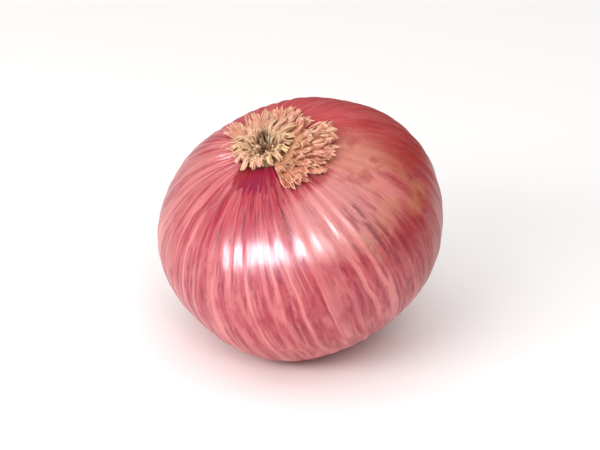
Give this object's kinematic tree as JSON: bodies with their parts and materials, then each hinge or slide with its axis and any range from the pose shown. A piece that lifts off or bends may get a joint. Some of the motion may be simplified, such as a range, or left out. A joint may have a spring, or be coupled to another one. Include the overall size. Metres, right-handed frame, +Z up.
{
  "type": "red onion",
  "caption": "Whole dry red onion resting on its lower flank: oblate papery bulb, root end up with a trimmed root tuft and loose skin flaps, cut dried neck underneath.",
  "frame": {"origin": "on the level of the resting spot, below the middle of the onion's bounding box", "axes": "+Z up; the root end points up, leaning 24.3 degrees from vertical towards -Y, and the cut neck points down and towards +Y"},
  "size_m": [0.0672, 0.0638, 0.0539],
  "materials": {
    "dry_skin": "satin",
    "loose_skin": "matte",
    "root_cork": "matte",
    "root_fibre": "matte",
    "neck_sheath": "matte"
  },
  "bodies": {
    "root": {"bulb": "dry_skin", "root_plate": "root_cork", "neck_sheath": "neck_sheath", "root_01": "root_fibre", "root_02": "root_fibre", "root_03": "root_fibre", "root_04": "root_fibre", "root_05": "root_fibre", "root_06": "root_fibre", "root_07": "root_fibre", "root_08": "root_fibre", "root_09": "root_fibre", "root_10": "root_fibre", "root_11": "root_fibre", "root_12": "root_fibre", "root_13": "root_fibre", "root_14": "root_fibre", "root_15": "root_fibre", "root_16": "root_fibre", "root_17": "root_fibre", "root_18": "root_fibre", "root_19": "root_fibre", "root_20": "root_fibre", "root_21": "root_fibre", "root_22": "root_fibre", "root_23": "root_fibre", "root_24": "root_fibre", "root_25": "root_fibre", "root_26": "root_fibre", "root_27": "root_fibre", "root_28": "root_fibre", "skin_flap_1": "loose_skin", "skin_flap_2": "loose_skin", "skin_flap_3": "loose_skin", "skin_flap_4": "loose_skin", "skin_flap_5": "loose_skin", "skin_flap_6": "loose_skin", "skin_flap_7": "loose_skin"}
  },
  "joints": []
}
